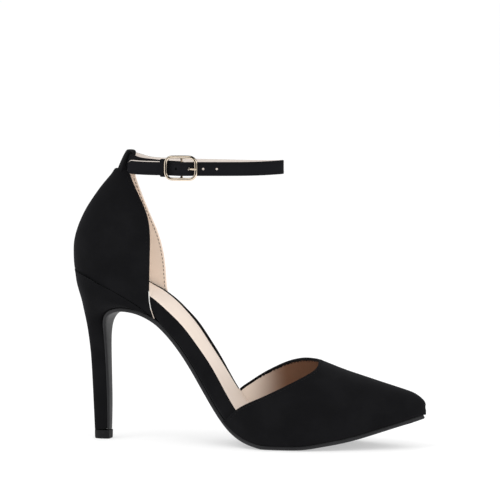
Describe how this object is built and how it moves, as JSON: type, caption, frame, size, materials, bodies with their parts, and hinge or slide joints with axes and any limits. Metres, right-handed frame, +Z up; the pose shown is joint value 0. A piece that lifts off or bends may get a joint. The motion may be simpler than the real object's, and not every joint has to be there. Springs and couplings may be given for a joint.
{
  "type": "ankle strap pump",
  "caption": "Right high heeled court shoe with a pointed closed toe, closed heel, open sides, and a slim ankle strap with a centre bar buckle.",
  "frame": {"origin": "middle of the heel tip's ground face, on the floor", "axes": "+X along the shoe towards the toe, +Y towards the inner side of the foot, +Z up"},
  "size_m": [0.2289, 0.0749, 0.1849],
  "materials": {
    "upper": "matt black suede-like microfibre with a very short nap",
    "strap": "matt black, fine grain, lined with pale beige",
    "sole": "smooth black sole unit with a satin sheen",
    "top_lift": "hard black rubber, satin",
    "footbed": "pale beige synthetic leather, padded, soft satin",
    "buckle": "polished pale gold plate"
  },
  "bodies": {
    "root": {"outsole": "sole", "heel": "upper", "top_lift": "top_lift", "insole_board": "upper", "insole_sock": "footbed", "vamp": "upper", "quarter": "upper", "strap_loop": "strap", "ankle_strap": "strap", "keeper": "strap", "buckle_frame": "buckle", "buckle_prong": "buckle"}
  },
  "joints": []
}
